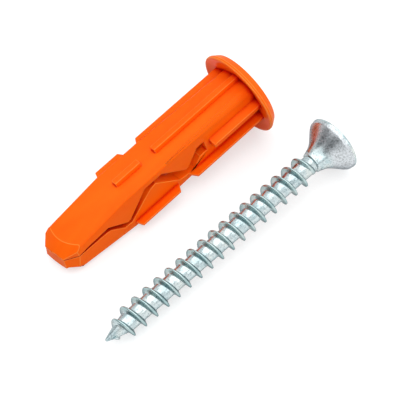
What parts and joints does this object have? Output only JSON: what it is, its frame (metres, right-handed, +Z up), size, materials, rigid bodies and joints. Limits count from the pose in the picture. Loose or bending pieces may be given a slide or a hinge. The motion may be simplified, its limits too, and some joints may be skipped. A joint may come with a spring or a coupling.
{
  "type": "wall plug with screw",
  "caption": "Moulded wall plug with a round collar, a zigzag split and side fins, lying beside its countersunk wood screw.",
  "frame": {"origin": "middle of the pair's bounding box, on the surface that they lie on", "axes": "+X from the heads to the tips, along the screw; +Y from the plug to the screw; +Z up"},
  "size_m": [0.0402, 0.0248, 0.0128],
  "materials": {
    "nylon": "satin moulded orange nylon",
    "zinc_steel": "bright blue-white zinc plating on rolled steel"
  },
  "bodies": {
    "root": {"wall_plug": "nylon", "screw": "zinc_steel"}
  },
  "joints": []
}
